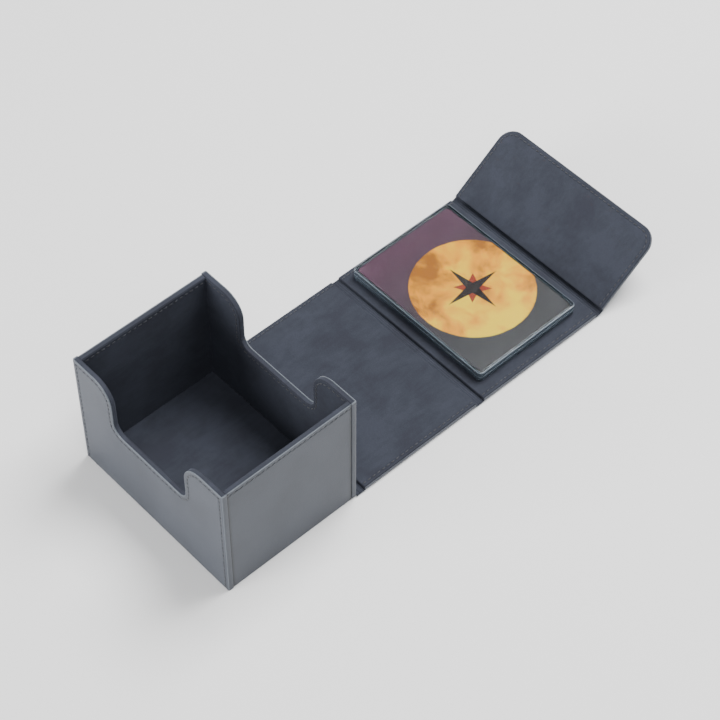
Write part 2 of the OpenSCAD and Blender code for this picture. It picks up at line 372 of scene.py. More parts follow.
@dataclass
class Sheet:
    """A sheet pressed over a board: one outline, its edges, a sewn hem and any relief of its own."""

    outline: np.ndarray
    thickness: float
    edges: list[Edge] = field(default_factory=list)
    hems: list[Hem] = field(default_factory=list)
    rules: list[np.ndarray] = field(default_factory=list)
    relief: Callable[[np.ndarray], np.ndarray] | None = None

    RUN_ON = 0.6              # how far a guide line runs past the outline, so that it surely crosses it
    MERGE = 1e-5              # corners of the mesh nearer than this become one
    WEAR_AND_HIGHLIGHT_WIDTH = 0.4          # how far scuffing and a painted highlight reach in from a cut edge
    RIDGE_WIDTH = 0.24        # and on each side of the ridge of a turned one
    RIDGE = 0.3               # where that ridge lies, as a share of the rounding; a painted highlight runs along it
    BACK_WEAR_AND_HIGHLIGHT = 0.6           # the pale edge mark, scuffing and painted highlight, on the back of the sheet beside that on its face
    JOINT_WIDTH = 1.25        # how far the shade of a joint reaches
    HEM_SHADE = 0.7           # shade of a hem's valley beside that of a joint

    def guides(self) -> list[np.ndarray]:
        """Draws every line that the mesh has to follow.

        Returns:
            The lines, each a little longer than the outline is wide there.
        """
        insets = [(e.path, r) for e in self.edges for r in e.rings(self.thickness)]
        insets += [(h.path, r) for h in self.hems for r in h.rings()]
        return [lengthened(offset(path, r), self.RUN_ON) for path, r in insets] + self.rules

    def flat_mesh(self) -> tuple[np.ndarray, list[list[int]]]:
        """Triangulates the outline along its guide lines.

        Returns:
            The points of the flat mesh and its triangles.
        """
        points = [Vector(p) for p in self.outline]
        lines = []
        for guide in self.guides():
            start = len(points)
            points += [Vector(p) for p in guide]
            lines += [(start + i, start + i + 1) for i in range(len(guide) - 1)]
        rim = list(range(len(self.outline)))
        flat, _, faces, *_ = delaunay_2d_cdt(points, lines, [rim], 1, self.MERGE)
        used = sorted({i for f in faces for i in f})
        renumber = {old: new for new, old in enumerate(used)}
        return np.array([flat[i][:] for i in used]), [[renumber[i] for i in f] for f in faces]

    def depths(self, flat: np.ndarray, gaps: list[np.ndarray]) -> tuple[np.ndarray, np.ndarray]:
        """Gives the sheet its thickness, edges, hems and relief.

        Args:
            flat: The points of the flat mesh.
            gaps: Their distances from each edge.

        Returns:
            How deep the sheet's face and its back lie at each point.
        """
        none = np.zeros(len(flat))
        show = np.max([rounding(e.radius, g) for e, g in zip(self.edges, gaps)] + [none], axis=0)
        show = show + np.sum([h.depth(flat) for h in self.hems] + [none], axis=0)
        if self.relief:
            show = show + self.relief(flat)
        back = none + self.thickness
        for e, g in zip(self.edges, gaps):
            if e.kind is EdgeKind.TURNED:
                back = np.maximum(back, np.where(g < self.thickness, e.reach, self.thickness))
        heels = [rounding(e.heel, g) for e, g in zip(self.edges, gaps)]
        return show, back - np.max(heels + [none], axis=0)

    def marks(self, flat: np.ndarray, gaps: list[np.ndarray]) -> tuple[np.ndarray, np.ndarray]:
        """Marks where the sheet is scuffed and given a painted highlight, and where its seams get painted
        shade.

        Args:
            flat: The points of the flat mesh.
            gaps: Their distances from each edge.

        Returns:
            Scuffing with painted highlight, and painted seam shade, at each point, from 0 to 1.
        """
        none = np.zeros(len(flat))
        wear_and_highlight = [self.rubbing_and_highlight(e, g) for e, g in zip(self.edges, gaps)]
        seam = [self.HEM_SHADE * h.groove(flat) for h in self.hems]
        seam += [np.exp(-((g / self.JOINT_WIDTH) ** 2))
                 for e, g in zip(self.edges, gaps) if e.kind is EdgeKind.BUTTED]
        return np.max(wear_and_highlight + [none], axis=0), np.max(seam + [none], axis=0)

    def rubbing_and_highlight(self, edge: Edge, gap: np.ndarray) -> np.ndarray:
        """How pale an edge is from scuffing and a painted highlight: most on the ridge of its rounding.

        Args:
            edge: The edge.
            gap: Distance of each point from it.

        Returns:
            1 where it is palest, falling to 0.
        """
        if edge.kind is EdgeKind.BUTTED:
            return np.zeros(len(gap))
        turned = edge.kind is EdgeKind.TURNED
        ridge = self.RIDGE * edge.radius if turned else 0.0
        width = self.RIDGE_WIDTH if turned else self.WEAR_AND_HIGHLIGHT_WIDTH
        return np.exp(-(((gap - ridge) / width) ** 2))

    def press(self, place: Place) -> Work:
        """Makes the closed mesh of the sheet.

        Args:
            place: Puts the sheet in space.

        Returns:
            The mesh with its masks: pale edges from scuffing and painted highlight, and painted seam shade.
        """
        flat, faces = self.flat_mesh()
        gaps = [distance(flat, e.path) for e in self.edges]
        show, back = self.depths(flat, gaps)
        wear_and_highlight, seam = self.marks(flat, gaps)
        count = len(flat)
        steps = dict.fromkeys((a, b) for f in faces for a, b in zip(f, f[1:] + f[:1]))
        sides = [[a, b, b + count, a + count] for a, b in steps if (b, a) not in steps]
        solid = faces + [[i + count for i in reversed(f)] for f in faces] + sides
        spots = np.vstack([np.column_stack([flat, show]), np.column_stack([flat, back])])
        # the edge mask holds scuffing and a painted highlight along the edges; the seam mask holds painted
        # shade in hems and joints
        masks = {"wear_and_highlight": np.concatenate([wear_and_highlight, self.BACK_WEAR_AND_HIGHLIGHT * wear_and_highlight]),
                 "seam": np.concatenate([seam, 0 * seam])}
        return Work(place(spots), solid, masks)


@dataclass(frozen=True)
class Stitching:
    """Lockstitch in real thread, sunk a little into its valley."""

    bare_end: float = 1.2     # length left unsewn at both ends of a hem
    pitch: float = 3.0
    length: float = 2.35
    thread: float = 0.27      # radius
    slant: float = math.radians(5)
    tip: float = 0.25         # share of the thread's radius left where a stitch goes into its hole
    proud: float = 0.75       # how far its middle stands over the valley, in thread radii
    dive: float = 1.1         # how far its ends drop from there, in thread radii
    rings: int = 6
    sides: int = 7

    def sew(self, hems: Sequence[Hem], place: Place) -> Work:
        """Sews along some hems.

        Args:
            hems: The hems, in the sheet's own plane.
            place: Puts the sheet in space.

        Returns:
            The stitches as one mesh.
        """
        points, faces = [], []
        for hem in hems:
            for spot, run in self.spots(offset(hem.path, hem.inset)):
                faces += self.stitch_faces(len(points))
                points += self.stitch_points(spot, run, hem.valley)
        return Work(place(np.array(points)), faces)

    def spots(self, path: np.ndarray) -> list[tuple[np.ndarray, np.ndarray]]:
        """Spaces the stitches of one line evenly.

        Args:
            path: The stitch line.

        Returns:
            The middle of each stitch, and the way the line runs there.
        """
        steps = np.linalg.norm(np.diff(path, axis=0), axis=1)
        reach = np.concatenate([[0], np.cumsum(steps)])
        room = reach[-1] - 2 * self.bare_end
        count = max(1, int(room // self.pitch))
        found = []
        for middle in self.bare_end + (np.arange(count) + 0.5) * room / count:
            i = min(int(np.searchsorted(reach, middle, side="right")) - 1, len(steps) - 1)
            run = (path[i + 1] - path[i]) / steps[i]
            found.append((path[i] + run * (middle - reach[i]), run))
        return found

    def stitch_points(self, spot: np.ndarray, run: np.ndarray, sunk: float) -> list[tuple]:
        """Draws the rings of points along one stitch.

        Args:
            spot: The stitch's middle.
            run: The way the line runs there.
            sunk: How deep the valley lies under the sheet.

        Returns:
            The points.
        """
        turn = Matrix.Rotation(self.slant, 2)
        ahead = np.array(turn) @ run
        right = np.array([ahead[1], -ahead[0]])
        points = []
        for k in range(self.rings + 1):
            share = 2 * k / self.rings - 1
            girth = self.thread * max(self.tip, math.sqrt(max(0.0, 1 - share**4)))
            lift = sunk - self.thread * (self.proud - self.dive * share**2)
            for s in range(self.sides):
                angle = 2 * math.pi * s / self.sides
                flat = spot + ahead * share * self.length / 2 + right * girth * math.cos(angle)
                points.append((flat[0], flat[1], lift + girth * math.sin(angle)))
        return points

    def stitch_faces(self, first: int) -> list[list[int]]:
        """Skins one stitch and closes its ends.

        Args:
            first: Number of the stitch's first point.

        Returns:
            The faces.
        """
        n = self.sides
        faces = []
        for k in range(self.rings):
            for s in range(n):
                a, b = first + k * n + s, first + k * n + (s + 1) % n
                faces.append([a, b, b + n, a + n])
        last = first + self.rings * n
        return faces + [list(range(first + n - 1, first - 1, -1)), list(range(last, last + n))]


def rings_solid(outline: np.ndarray, profile: Sequence[Point]) -> Work:
    """A closed body from one outline drawn at several insets and heights.

    Args:
        outline: The closed outline, clockwise.
        profile: Inset and height of each ring, from one closing face to the other.

    Returns:
        The closed mesh, with its upright faces in zone 1 and its rounded edges in zone 2.
    """
    flat = 0.2                # a ring just inside each closing face keeps its shading flat
    profile = [(profile[0][0] + flat, profile[0][1]), *profile, (profile[-1][0] + flat, profile[-1][1])]
    loop = np.vstack([outline[-1:], outline, outline[:1]])
    count = len(outline)
    rings = [np.column_stack([offset(loop, inset)[1:-1], np.full(count, z)]) for inset, z in profile]
    faces = [list(range(count)), [i + count * (len(rings) - 1) for i in reversed(range(count))]]
    zones = [0, 0]
    for k in range(len(rings) - 1):
        across, up = (abs(a - b) for a, b in zip(profile[k], profile[k + 1]))
        for i in range(count):
            j = (i + 1) % count
            faces.append([k * count + i, k * count + j, (k + 1) * count + j, (k + 1) * count + i])
            zones.append(0 if up == 0 else 1 if across == 0 else 2)
    return Work(np.vstack(rings), faces, zones=zones)


# ---------------------------------------------------------------- finishes


def linear(hex_colour: str) -> tuple[float, float, float, float]:
    """Turns an sRGB hex colour into what the shaders take.

    Args:
        hex_colour: Six hex digits such as 74787e.

    Returns:
        Linear red, green and blue, and a full alpha.
    """
    parts = [int(hex_colour[i:i + 2], 16) / 255 for i in (0, 2, 4)]
    r, g, b = (c / 12.92 if c <= 0.04045 else ((c + 0.055) / 1.055) ** 2.4 for c in parts)
    return (r, g, b, 1.0)


def per_metre(size_mm: float) -> float:
    """The texture scale at which a pattern repeats about every size_mm."""
    return 1 / (size_mm * MM)


def feed(node: bpy.types.Node, inputs: dict) -> None:
    """Sets a node's inputs, and links those that are given another node's output.

    Args:
        node: The node.
        inputs: Value or output socket for each input, by name or number.
    """
    for name, value in inputs.items():
        if isinstance(value, bpy.types.NodeSocket):
            node.id_data.links.new(value, node.inputs[name])
        else:
            node.inputs[name].default_value = value


def add(material: bpy.types.Material, kind: str, inputs: dict | None = None,
        **settings: object) -> bpy.types.Node:
    """Adds one shader node.

    Args:
        material: The material it goes into.
        kind: The node's type, without the prefix that all shader nodes share.
        inputs: Value or output socket for each input, by name or number.
        settings: Properties of the node; stops sets a colour ramp's stops.

    Returns:
        The node.
    """
    made = material.node_tree.nodes.new(f"ShaderNode{kind}")
    for number, (spot, colour) in enumerate(settings.pop("stops", [])):
        ramp = made.color_ramp.elements
        stop = ramp[number] if number < len(ramp) else ramp.new(spot)
        stop.position, stop.color = spot, linear(colour)
    for name, value in settings.items():
        setattr(made, name, value)
    feed(made, inputs or {})
    return made


@dataclass(frozen=True)
class Finish:
    """What every finish has: a name, and the steps that begin and end its material."""

    name: str

    def begin(self) -> bpy.types.Material:
        """Starts the material.

        Returns:
            The material, with one principled shader.
        """
        material = bpy.data.materials.new(self.name)
        material.use_nodes = True
        return material

    def end(self, material: bpy.types.Material, **surface: object) -> bpy.types.Material:
        """Sets the material's principled shader up.

        Args:
            material: The material.
            surface: Value or output socket for the shader's own sockets, with spaces as underscores.

        Returns:
            The finished material.
        """
        inputs = {name.replace("_", " "): value for name, value in surface.items()}
        feed(material.node_tree.nodes["Principled BSDF"], inputs)
        return material


@dataclass(frozen=True)
class GrainedLeather(Finish):
    """Polyurethane leather, embossed between rollers.

    It is a soft satin skin. The eye sees fine pebbles with darker valleys, slow clouds of tone, edges gone
    pale from handling and from a painted highlight on their rounding, and painted shade in hems and joints.
    """

    base: str = "40454f"
    shade: str = "363b44"
    # pale colour of scuffed edges, with a painted highlight on their rounding
    worn_and_lit: str = "6a7179"
    # painted shade in hem valleys and butted joints
    seam_shade: str = "1c1f24"
    seam_shading: float = 0.9      # how much of the painted shade sits in a joint
    pebble: float = 0.9       # embossed grain, mm
    warp: float = 0.0006      # how much the pebbles are pulled about, so that they differ
    emboss: float = 0.06      # depth of the grain, mm
    pore: float = 0.25        # mm
    cloud: float = 28.0       # slow drift of the tone, mm

    def build(self) -> bpy.types.Material:
        """Builds the material.

        Returns:
            The material.
        """
        m = self.begin()
        place = add(m, "TexCoord").outputs["Object"]
        drift = add(m, "TexNoise", {"Vector": place, "Scale": per_metre(self.cloud), "Detail": 3.0})
        fine = add(m, "TexNoise", {"Vector": place, "Scale": per_metre(self.pore), "Detail": 2.0})
        pull = add(m, "TexNoise", {"Vector": place, "Scale": per_metre(self.pebble * 1.6)})
        bent = add(m, "Mix", {"Factor": self.warp, "A": place, "B": pull.outputs["Color"]},
                   data_type="VECTOR")
        grain = add(m, "TexVoronoi", {"Vector": bent.outputs[1], "Scale": per_metre(self.pebble)},
                    feature="DISTANCE_TO_EDGE")
        dome = add(m, "MapRange", {"Value": grain.outputs["Distance"], "From Max": 0.28},
                   interpolation_type="SMOOTHSTEP")
        height = add(m, "Math", {0: fine.outputs["Fac"], 1: 0.35, 2: dome.outputs[0]},
                     operation="MULTIPLY_ADD")
        bump = add(m, "Bump", {"Strength": 0.55, "Distance": self.emboss * MM, "Height": height.outputs[0]})
        tone = add(m, "ValToRGB", {"Fac": drift.outputs["Fac"]},
                   stops=[(0.3, self.shade), (0.62, self.base)])
        valley = add(m, "MapRange", {"Value": dome.outputs[0], "To Min": 0.3, "To Max": 0.0})
        grained = add(m, "Mix", {"Factor": valley.outputs[0], "A": tone.outputs[0],
                                 "B": linear(self.shade)},
                      data_type="RGBA")
        # the edge mask pales the edges: scuffing and a painted highlight on their rounding
        wear_and_highlight = add(m, "Attribute", attribute_name="wear_and_highlight")
        rubbed_and_lit = add(m, "Math", {0: wear_and_highlight.outputs["Fac"], 1: fine.outputs["Fac"]}, operation="MULTIPLY")
        pale = add(m, "MapRange", {"Value": rubbed_and_lit.outputs[0], "From Min": 0.15, "From Max": 0.55,
                                   "To Max": 0.8})
        handled_and_lit = add(m, "Mix", {"Factor": pale.outputs[0], "A": grained.outputs[2],
                                 "B": linear(self.worn_and_lit)},
                      data_type="RGBA")
        # the seam mask darkens hem valleys and joints: painted shade
        seam = add(m, "Attribute", attribute_name="seam")
        seam_shaded = add(m, "Math", {0: seam.outputs["Fac"], 1: self.seam_shading}, operation="MULTIPLY")
        colour = add(m, "Mix", {"Factor": seam_shaded.outputs[0], "A": handled_and_lit.outputs[2], "B": linear(self.seam_shade)},
                     data_type="RGBA")
        gloss = add(m, "MapRange", {"Value": fine.outputs["Fac"], "To Min": 0.46, "To Max": 0.62})
        return self.end(m, Base_Color=colour.outputs[2], Roughness=gloss.outputs[0], Normal=bump.outputs[0],
                        IOR=1.46, Sheen_Weight=0.06, Sheen_Roughness=0.5, Specular_IOR_Level=0.5)


@dataclass(frozen=True)
class Microfibre(Finish):
    """Microfibre cloth, brushed to raise its nap.

    It is matt and dark. The eye sees cloudy patches where the nap lies the other way, long brush marks
    through them, darker edges, and painted shade in the hem valleys under the stitches.
    """

    base: str = "33363f"
    nap: str = "373a44"
    deep: str = "30323b"
    cut: str = "1f2026"       # darker along the edges and the ridge of the rim
    # painted shade in the hem valleys under the stitches
    pressed: str = "181a20"
    valley_shading: float = 0.22    # how much painted shade darkens the hem valleys under the stitches
    lustre: str = "8f98ab"    # light caught by the fibre tips
    patch: float = 22.0       # brushed patches, mm
    brush: float = 2.4        # width of a brush mark, mm
    brush_turn: float = 0.7   # the way the brush went, in radians
    fibre: float = 0.3        # the real 0.02 mm is too fine to show, so it is drawn this coarse
    pile: float = 0.08        # depth of the nap, mm

    def build(self) -> bpy.types.Material:
        """Builds the material.

        Returns:
            The material.
        """
        m = self.begin()
        place = add(m, "TexCoord").outputs["Object"]
        patch = add(m, "TexNoise", {"Vector": place, "Scale": per_metre(self.patch), "Detail": 4.0,
                                    "Roughness": 0.6, "Distortion": 0.4})
        swept = add(m, "Mapping", {"Vector": place, "Rotation": (0, 0, self.brush_turn),
                                   "Scale": (1.0, 0.22, 1.0)})
        brush = add(m, "TexNoise", {"Vector": swept.outputs[0], "Scale": per_metre(self.brush),
                                    "Detail": 3.0})
        fibre = add(m, "TexNoise", {"Vector": place, "Scale": per_metre(self.fibre), "Detail": 3.0})
        mix = add(m, "Math", {0: brush.outputs["Fac"], 1: 0.3, 2: patch.outputs["Fac"]},
                  operation="MULTIPLY_ADD")
        tone = add(m, "ValToRGB", {"Fac": mix.outputs[0]},
                   stops=[(0.52, self.deep), (0.64, self.base), (0.78, self.nap)])
        fleck = add(m, "MapRange", {"Value": fibre.outputs["Fac"], "From Min": 0.3, "From Max": 0.7,
                                    "To Min": 0.86, "To Max": 1.12})
        fleece = add(m, "VectorMath", {0: tone.outputs[0], "Scale": fleck.outputs[0]}, operation="SCALE")
        # the leather's pale-edge mask; here it darkens the edges and the ridge of the rim
        wear_and_highlight = add(m, "Attribute", attribute_name="wear_and_highlight")
        edge = add(m, "MapRange", {"Value": wear_and_highlight.outputs["Fac"], "From Min": 0.55, "From Max": 0.95,
                                   "To Max": 0.75})
        edged = add(m, "Mix", {"Factor": edge.outputs[0], "A": fleece.outputs[0], "B": linear(self.cut)},
                    data_type="RGBA")
        # the seam mask darkens the hem valleys: painted shade
        seam = add(m, "Attribute", attribute_name="seam")
        press = add(m, "Math", {0: seam.outputs["Fac"], 1: self.valley_shading}, operation="MULTIPLY")
        colour = add(m, "Mix", {"Factor": press.outputs[0], "A": edged.outputs[2],
                                "B": linear(self.pressed)},
                     data_type="RGBA")
        bump = add(m, "Bump", {"Strength": 0.5, "Distance": self.pile * MM, "Height": fibre.outputs["Fac"]})
        return self.end(m, Base_Color=colour.outputs[2], Normal=bump.outputs[0], Roughness=0.92,
                        Sheen_Weight=0.22, Sheen_Roughness=0.4, Sheen_Tint=linear(self.lustre),
                        Specular_IOR_Level=0.2)


@dataclass(frozen=True)
class PolyesterThread(Finish):
    """Polyester thread, twisted: a tone off the sheet it is sewn through, with a dull lustre."""

    colour: str = "454950"
    dark: str = "2f3238"
    twist: float = 10.0       # the real 0.5 mm is too fine to show, so its shade is drawn this coarse

    def build(self) -> bpy.types.Material:
        """Builds the material.

        Returns:
            The material.
        """
        m = self.begin()
        place = add(m, "TexCoord").outputs["Object"]
        twist = add(m, "TexWave", {"Vector": place, "Scale": per_metre(self.twist), "Distortion": 1.5,
                                   "Detail": 1.0}, bands_direction="DIAGONAL")
        colour = add(m, "Mix", {"Factor": twist.outputs["Fac"], "A": linear(self.dark),
                                "B": linear(self.colour)},
                     data_type="RGBA")
        bump = add(m, "Bump", {"Strength": 0.4, "Distance": 0.05 * MM, "Height": twist.outputs["Fac"]})
        return self.end(m, Base_Color=colour.outputs[2], Normal=bump.outputs[0], Roughness=0.6,
                        Sheen_Weight=0.25, IOR=1.5)


@dataclass(frozen=True)
class Greyboard(Finish):
    """Greyboard, pressed from recycled pulp: dull, with darker flecks, seen only where a sheet is lifted."""

    pulp: str = "948d80"
    fleck: str = "5f5a52"
    fleck_size: float = 1.5   # mm
    layers: float = 5.0       # how much flatter the flecks are than they are wide

    def build(self) -> bpy.types.Material:
        """Builds the material.

        Returns:
            The material.
        """
        m = self.begin()
        place = add(m, "TexCoord").outputs["Object"]
        flat = add(m, "Mapping", {"Vector": place, "Scale": (1.0, 1.0, self.layers)})
        pulp = add(m, "TexNoise", {"Vector": flat.outputs[0], "Scale": per_metre(self.fleck_size),
                                   "Detail": 6.0})
        tone = add(m, "ValToRGB", {"Fac": pulp.outputs["Fac"]},
                   stops=[(0.36, self.fleck), (0.5, self.pulp)])
        bump = add(m, "Bump", {"Strength": 0.5, "Distance": 0.1 * MM, "Height": pulp.outputs["Fac"]})
        return self.end(m, Base_Color=tone.outputs[0], Normal=bump.outputs[0], Roughness=0.95,
                        Specular_IOR_Level=0.2)


@dataclass(frozen=True)
class NickelPlate(Finish):
    """Nickel, plated on a magnet in a barrel: bright, with faint marks of the tumbling."""

    plate: str = "c6c3bb"
    mark: float = 0.8         # mm

    def build(self) -> bpy.types.Material:
        """Builds the material.

        Returns:
            The material.
        """
        m = self.begin()
        place = add(m, "TexCoord").outputs["Object"]
        tumble = add(m, "TexNoise", {"Vector": place, "Scale": per_metre(self.mark), "Detail": 5.0})
        gloss = add(m, "MapRange", {"Value": tumble.outputs["Fac"], "To Min": 0.16, "To Max": 0.38})
        bump = add(m, "Bump", {"Strength": 0.15, "Distance": 0.02 * MM, "Height": tumble.outputs["Fac"]})
        return self.end(m, Base_Color=linear(self.plate), Metallic=1.0, Roughness=gloss.outputs[0],
                        Normal=bump.outputs[0])


@dataclass(frozen=True)
class FoamTape(Finish):
    """Closed-cell foam tape, cut to size: black and matt, with open cells on its cut faces."""

    foam: str = "26272b"
    wall: str = "3b3d42"
    cell: float = 0.4         # mm

    def build(self) -> bpy.types.Material:
        """Builds the material.

        Returns:
            The material.
        """
        m = self.begin()
        place = add(m, "TexCoord").outputs["Object"]
        cells = add(m, "TexVoronoi", {"Vector": place, "Scale": per_metre(self.cell)})
        tone = add(m, "Mix", {"Factor": cells.outputs["Distance"], "A": linear(self.foam),
                              "B": linear(self.wall)},
                   data_type="RGBA")
        bump = add(m, "Bump", {"Strength": 0.6, "Distance": 0.1 * MM, "Height": cells.outputs["Distance"]})
        return self.end(m, Base_Color=tone.outputs[2], Normal=bump.outputs[0], Roughness=0.85,
                        Specular_IOR_Level=0.3)


@dataclass(frozen=True)
class ClearPolystyrene(Finish):
    """Polystyrene, injection moulded: clear and glossy, with a trace of haze from handling.

    A flat window has no colour of its own. Upright walls and rounded rims are seen through more of the
    plastic, so they get a cool tint and let less through. The rims' tint is lighter, a painted highlight.
    """

    tint: str = "fafcfd"
    clearness: float = 1.0    # share of the light that goes straight through
    ior: float = 1.18         # under the real 1.59, so that the window's glare doesn't hide the card
    haze: float = 9.0         # size of the patches of haze, mm

    def build(self) -> bpy.types.Material:
        """Builds the material.

        Returns:
            The material.
        """
        m = self.begin()
        place = add(m, "TexCoord").outputs["Object"]
        haze = add(m, "TexNoise", {"Vector": place, "Scale": per_metre(self.haze), "Detail": 6.0})
        gloss = add(m, "MapRange", {"Value": haze.outputs["Fac"], "From Min": 0.4, "From Max": 0.8,
                                    "To Min": 0.03, "To Max": 0.12})
        return self.end(m, Base_Color=linear(self.tint), Roughness=gloss.outputs[0], IOR=self.ior,
                        Transmission_Weight=self.clearness)


@dataclass(frozen=True)
class PrintedCard(Finish):
    """Coated card, offset printed: a satin face over bare pulp edges.

    The print is a plain gold disc, clouded from amber to straw, with an eight-pointed star, on a ground
    that runs from plum to charcoal.
    """

    centre: Point = (1.5, 167.0)
    disc: float = 33.0        # radius
    star: float = 17.0        # reach of the long points
    short_points: float = 10.0
    print_top: float = 0.0    # height of the printed face
    ink_depth: float = 0.03
    cloud: float = 16.667     # drift of the gold's and the ground's tone, mm
    fringe: float = 2.857     # waver of the disc's edge, mm
    lit: float = 0.0035       # how much lighter the gold grows per mm across
    ground_ends: Point = (-44.0, 18.0)    # where the ground is all plum and all charcoal
    gold: str = "e69600"
    amber: str = "985a00"
    straw: str = "f0c80a"
    plum: str = "4f3444"
    charcoal: str = "333336"
    ink: str = "1d1416"
    rust: str = "8c2c14"
    pulp: str = "c9c7c2"

    def build(self) -> bpy.types.Material:
        """Builds the material.

        Returns:
            The material.
        """
        m = self.begin()
        place = add(m, "TexCoord").outputs["Object"]
        moved = add(m, "VectorMath", {0: place, 1: (self.centre[0] * MM, self.centre[1] * MM, 0)},
                    operation="SUBTRACT")
        spot = add(m, "VectorMath", {0: moved.outputs[0], 1: (1 / MM, 1 / MM, 0)},
                   operation="MULTIPLY").outputs[0]
        split = add(m, "SeparateXYZ", {0: spot})
        reach = add(m, "VectorMath", {0: spot}, operation="LENGTH")
        wash = add(m, "TexNoise", {"Vector": spot, "Scale": 1 / self.cloud, "Detail": 4.0, "Roughness": 0.55,
                                   "Distortion": 0.35})
        lit = add(m, "Math", {0: split.outputs["X"], 1: self.lit, 2: wash.outputs["Fac"]},
                  operation="MULTIPLY_ADD")
        gold = add(m, "ValToRGB", {"Fac": lit.outputs[0]},
                   stops=[(0.32, self.amber), (0.46, self.gold), (0.62, self.straw)])
        across = add(m, "MapRange", {"Value": split.outputs["X"], "From Min": self.ground_ends[0],
                                     "From Max": self.ground_ends[1]})
        ground = add(m, "Mix", {"Factor": across.outputs[0], "A": linear(self.plum),
                                "B": linear(self.charcoal)},
                     data_type="RGBA")
        mottle = add(m, "MapRange", {"Value": wash.outputs["Fac"], "To Min": 0.75, "To Max": 1.3})
        ground = add(m, "VectorMath", {0: ground.outputs[2], "Scale": mottle.outputs[0]}, operation="SCALE")
        wobble = add(m, "TexNoise", {"Vector": spot, "Scale": 1 / self.fringe, "Detail": 3.0})
        rough_reach = add(m, "Math", {0: wobble.outputs["Fac"], 1: 0.7, 2: reach.outputs["Value"]},
                          operation="MULTIPLY_ADD")
        inside = add(m, "MapRange", {"Value": rough_reach.outputs[0], "From Min": self.disc - 0.2,
                                     "From Max": self.disc + 0.3, "To Min": 1.0, "To Max": 0.0})
        printed = add(m, "Mix", {"Factor": inside.outputs[0], "A": ground.outputs[0], "B": gold.outputs[0]},
                      data_type="RGBA").outputs[2]
        turn = add(m, "Math", {0: split.outputs["Y"], 1: split.outputs["X"]}, operation="ARCTAN2")
        for ink, tip, phase, waist in ((self.rust, self.short_points, math.pi / 4, 0.4),
                                       (self.ink, self.star, 0.0, 0.2)):
            star = self.star_mask(m, turn.outputs[0], reach.outputs["Value"], tip, waist * tip, phase)
            printed = add(m, "Mix", {"Factor": star.outputs[0], "A": printed, "B": linear(ink)},
                          data_type="RGBA").outputs[2]
        height = add(m, "SeparateXYZ", {0: place})
        edge = add(m, "Math", {0: height.outputs["Z"], 1: (self.print_top - self.ink_depth) * MM},
                   operation="LESS_THAN")
        colour = add(m, "Mix", {"Factor": edge.outputs[0], "A": printed, "B": linear(self.pulp)},
                     data_type="RGBA")
        return self.end(m, Base_Color=colour.outputs[2], Roughness=0.32, IOR=1.4, Coat_Weight=0.15,
                        Coat_Roughness=0.2)

    def star_mask(self, m: bpy.types.Material, turn: bpy.types.NodeSocket, reach: bpy.types.NodeSocket,
                  tip: float, waist: float, phase: float) -> bpy.types.Node:
        """Marks the inside of a four-pointed star with straight sides.

        Args:
            m: The material.
            turn: Direction from the star's centre, in radians.
            reach: Distance from its centre, in millimetres.
            tip: How far its points reach.
            waist: How far the corners between them reach.
            phase: Turns the star, in radians.

        Returns:
            The node that is 1 inside.
        """
        half = math.pi / 4
        turned = add(m, "Math", {0: turn, 1: phase + 2 * math.pi}, operation="ADD")
        fold = add(m, "Math", {0: turned.outputs[0], 1: half}, operation="PINGPONG")
        rest = add(m, "Math", {0: half, 1: fold.outputs[0]}, operation="SUBTRACT")
        near = add(m, "Math", {0: fold.outputs[0]}, operation="SINE")
        far = add(m, "Math", {0: rest.outputs[0]}, operation="SINE")
        far = add(m, "Math", {0: far.outputs[0], 1: waist}, operation="MULTIPLY")
        side = add(m, "Math", {0: near.outputs[0], 1: tip, 2: far.outputs[0]}, operation="MULTIPLY_ADD")
        across = add(m, "Math", {0: side.outputs[0], 1: reach}, operation="MULTIPLY")
        return add(m, "Math", {0: across.outputs[0], 1: tip * waist * math.sin(half)},
                   operation="LESS_THAN")


@dataclass(frozen=True)
class StudioPaper(Finish):
    """Studio paper off the roll, for the floor: plain, pale and matt."""

    paper: str = "f4f4f4"

    def build(self) -> bpy.types.Material:
        """Builds the material."""
        return self.end(self.begin(), Base_Color=linear(self.paper), Roughness=0.9, Specular_IOR_Level=0.1)


class Layer(Enum):
    """The two sheets that cover a board."""

    LEATHER = "leather"
    LINING = "lining"


@dataclass(frozen=True)
class Finishes:
    """Every material of the box, made once."""

    leather: bpy.types.Material
    lining: bpy.types.Material
    thread: bpy.types.Material
    lining_thread: bpy.types.Material
    board: bpy.types.Material
    nickel: bpy.types.Material
    foam: bpy.types.Material
    clear: tuple[bpy.types.Material, ...]     # window, walls and rims of the case; the rims' lighter tint is a painted highlight
    card: bpy.types.Material

    @classmethod
    def make(cls, card_finish: PrintedCard) -> "Finishes":
        """Builds all materials.

        Args:
            card_finish: The card's finish, which has to know how high the card lies.

        Returns:
            The materials.
        """
        deep = {"clearness": 0.5, "ior": 1.5}     # seen through more of the plastic
        return cls(
            leather=GrainedLeather("pu_leather_grey").build(),
            lining=Microfibre("microfibre_lining").build(),
            thread=PolyesterThread("thread_grey").build(),
            lining_thread=PolyesterThread("thread_dark", colour="2c2f38", dark="22242b").build(),
            board=Greyboard("greyboard").build(),
            nickel=NickelPlate("nickel_plate").build(),
            foam=FoamTape("foam_tape").build(),
            clear=(
                ClearPolystyrene("clear_polystyrene").build(),
                ClearPolystyrene("clear_polystyrene_wall", tint="5f6b77", **deep).build(),
                # a lighter tint than the walls: a painted highlight along the rounded rims
                ClearPolystyrene("clear_polystyrene_rim_highlight", tint="8f9ca7", **deep).build(),
            ),
            card=card_finish.build(),
        )

    def of(self, layer: Layer) -> tuple[bpy.types.Material, bpy.types.Material]:
        """The sheet and the thread of a layer."""
        return (self.leather, self.thread) if layer is Layer.LEATHER else (self.lining, self.lining_thread)


